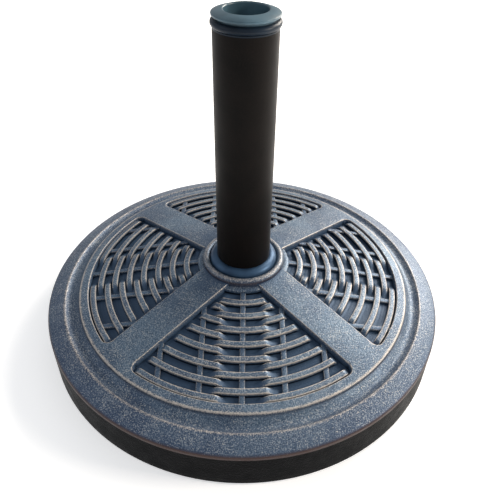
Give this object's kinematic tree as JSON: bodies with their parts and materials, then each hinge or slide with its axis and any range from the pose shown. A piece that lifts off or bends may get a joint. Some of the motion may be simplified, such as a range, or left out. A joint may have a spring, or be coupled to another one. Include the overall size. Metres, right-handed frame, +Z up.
{
  "type": "parasol base",
  "caption": "Round weighted parasol base with a woven relief on its top, an upright steel tube for the pole, and a loose reducing sleeve in the tube's mouth.",
  "frame": {"origin": "on the floor, under the middle of the disc", "axes": "+Z up along the tube; -Y, +X, +Y and -X point through the middles of the four woven panels"},
  "size_m": [0.45, 0.45, 0.363],
  "materials": {
    "painted_resin": "satin",
    "concrete": "matte",
    "black_plastic": "matte",
    "rubber": "matte",
    "powder_coated_steel": "satin",
    "zinc_plated_steel": "satin",
    "moulded_collar": "satin",
    "moulded_cap": "satin"
  },
  "bodies": {
    "base": {"base_shell": "painted_resin", "concrete_ballast": "concrete", "bottom_cover": "black_plastic", "foot_pad_1": "rubber", "foot_pad_2": "rubber", "foot_pad_3": "rubber", "foot_pad_4": "rubber", "foot_pad_5": "rubber", "foot_pad_6": "rubber", "socket_tube": "powder_coated_steel", "tube_end_plate": "powder_coated_steel", "weld_nut": "zinc_plated_steel", "centre_bolt": "zinc_plated_steel", "plate_washer": "zinc_plated_steel", "lock_washer": "zinc_plated_steel", "foot_collar": "moulded_collar", "pole_seat_plug": "black_plastic", "tube_cap": "moulded_cap"},
    "reducer": {"reducer_insert": "moulded_cap"}
  },
  "joints": [
    {"name": "reducer_lift", "type": "slide", "parent": "base", "child": "reducer", "axis": [0, 0, 1], "range_m": [0, 0.06]}
  ]
}
